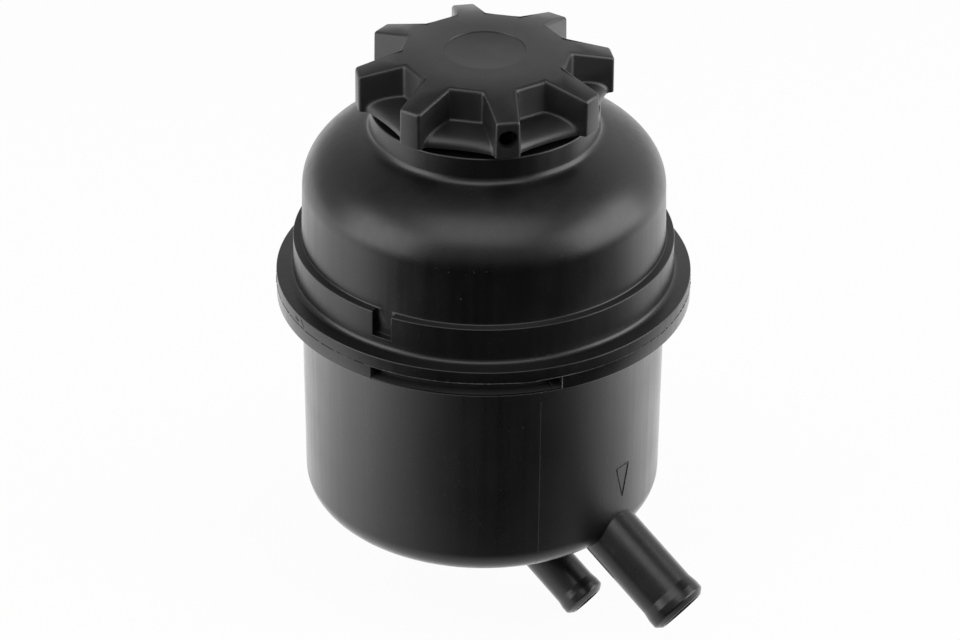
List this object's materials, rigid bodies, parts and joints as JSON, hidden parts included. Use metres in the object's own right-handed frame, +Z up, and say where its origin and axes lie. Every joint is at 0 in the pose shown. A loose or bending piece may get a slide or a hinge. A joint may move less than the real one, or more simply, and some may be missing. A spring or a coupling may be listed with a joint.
{
  "type": "power steering reservoir",
  "caption": "Round black plastic oil reservoir for power steering: a welded two-part tank with a lobed screw cap on top and hose nipples slanting down from its base.",
  "frame": {"origin": "on the tank's axis, in the plane of the weld flange's underside, which is where a bracket ring carries it", "axes": "+Z up along the tank's axis to the cap, the hose nipples slant down towards +X and -Y"},
  "size_m": [0.1142, 0.11, 0.1625],
  "materials": {
    "tank_black": "moulded, satin",
    "cap_black": "moulded, fine grain",
    "seal_rubber": "matte",
    "natural_nylon": "moulded, satin",
    "filter_screen": "fine woven",
    "spring_steel": "drawn wire"
  },
  "bodies": {
    "reservoir": {"lower_bowl": "tank_black", "upper_shell": "tank_black", "baffle_plate": "natural_nylon", "hold_down_spring": "spring_steel"},
    "filter": {"filter_cage": "natural_nylon", "filter_mesh": "filter_screen", "filter_top_plate": "natural_nylon", "filter_grommet": "seal_rubber"},
    "cap_carrier": {"cap_gasket": "seal_rubber"},
    "cap": {"filler_cap": "cap_black", "cap_insert": "natural_nylon", "dipstick": "natural_nylon"}
  },
  "joints": [
    {"name": "filter_bypass_lift", "type": "slide", "parent": "reservoir", "child": "filter", "axis": [0, 0, 1], "range_m": [0, 0.0025], "stiffness_N_per_m": 2360, "springref_m": -0.004, "deforming": ["hold_down_spring"]},
    {"name": "cap_lift", "type": "slide", "parent": "reservoir", "child": "cap_carrier", "axis": [0, 0, 1], "range_m": [0, 0.00563]},
    {"name": "cap_turn", "type": "hinge", "parent": "cap_carrier", "child": "cap", "pos_m": [0, 0, 0.0713], "axis": [0, 0, 1], "range_deg": [0, 405]}
  ],
  "couplings": [
    {"joint": "cap_lift", "follows": "cap_turn", "m_per_rad": 0.00079577}
  ]
}
